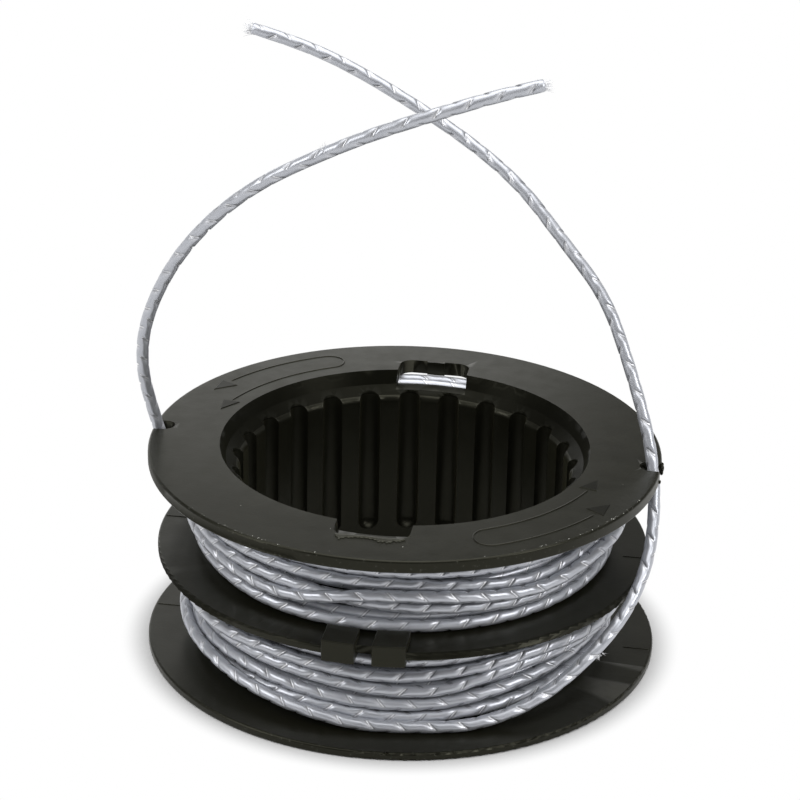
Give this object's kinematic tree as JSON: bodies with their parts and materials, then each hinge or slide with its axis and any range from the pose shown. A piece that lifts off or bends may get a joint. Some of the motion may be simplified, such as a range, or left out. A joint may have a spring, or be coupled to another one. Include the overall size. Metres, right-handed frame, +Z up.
{
  "type": "trimmer line spool",
  "caption": "Spool for a string trimmer head: a flanged plastic moulding on a splined hub, wound with round silver cutting line whose free ends leave through rim slots.",
  "frame": {"origin": "centre of the bottom flange's underside, on the hub's axis", "axes": "+Z up along the hub's axis, +X through the rim slot of the lower channel's line, -Y through the middle flange's slot and tabs"},
  "size_m": [0.0859, 0.0844, 0.1067],
  "materials": {
    "black_plastic": "satin moulded plastic, lightly scuffed",
    "silver_line": "pearly, with small diagonal nicks"
  },
  "bodies": {
    "root": {"spool_body": "black_plastic", "upper_winding": "silver_line", "upper_line_tail": "silver_line", "lower_winding": "silver_line", "lower_line_tail": "silver_line"}
  },
  "joints": []
}
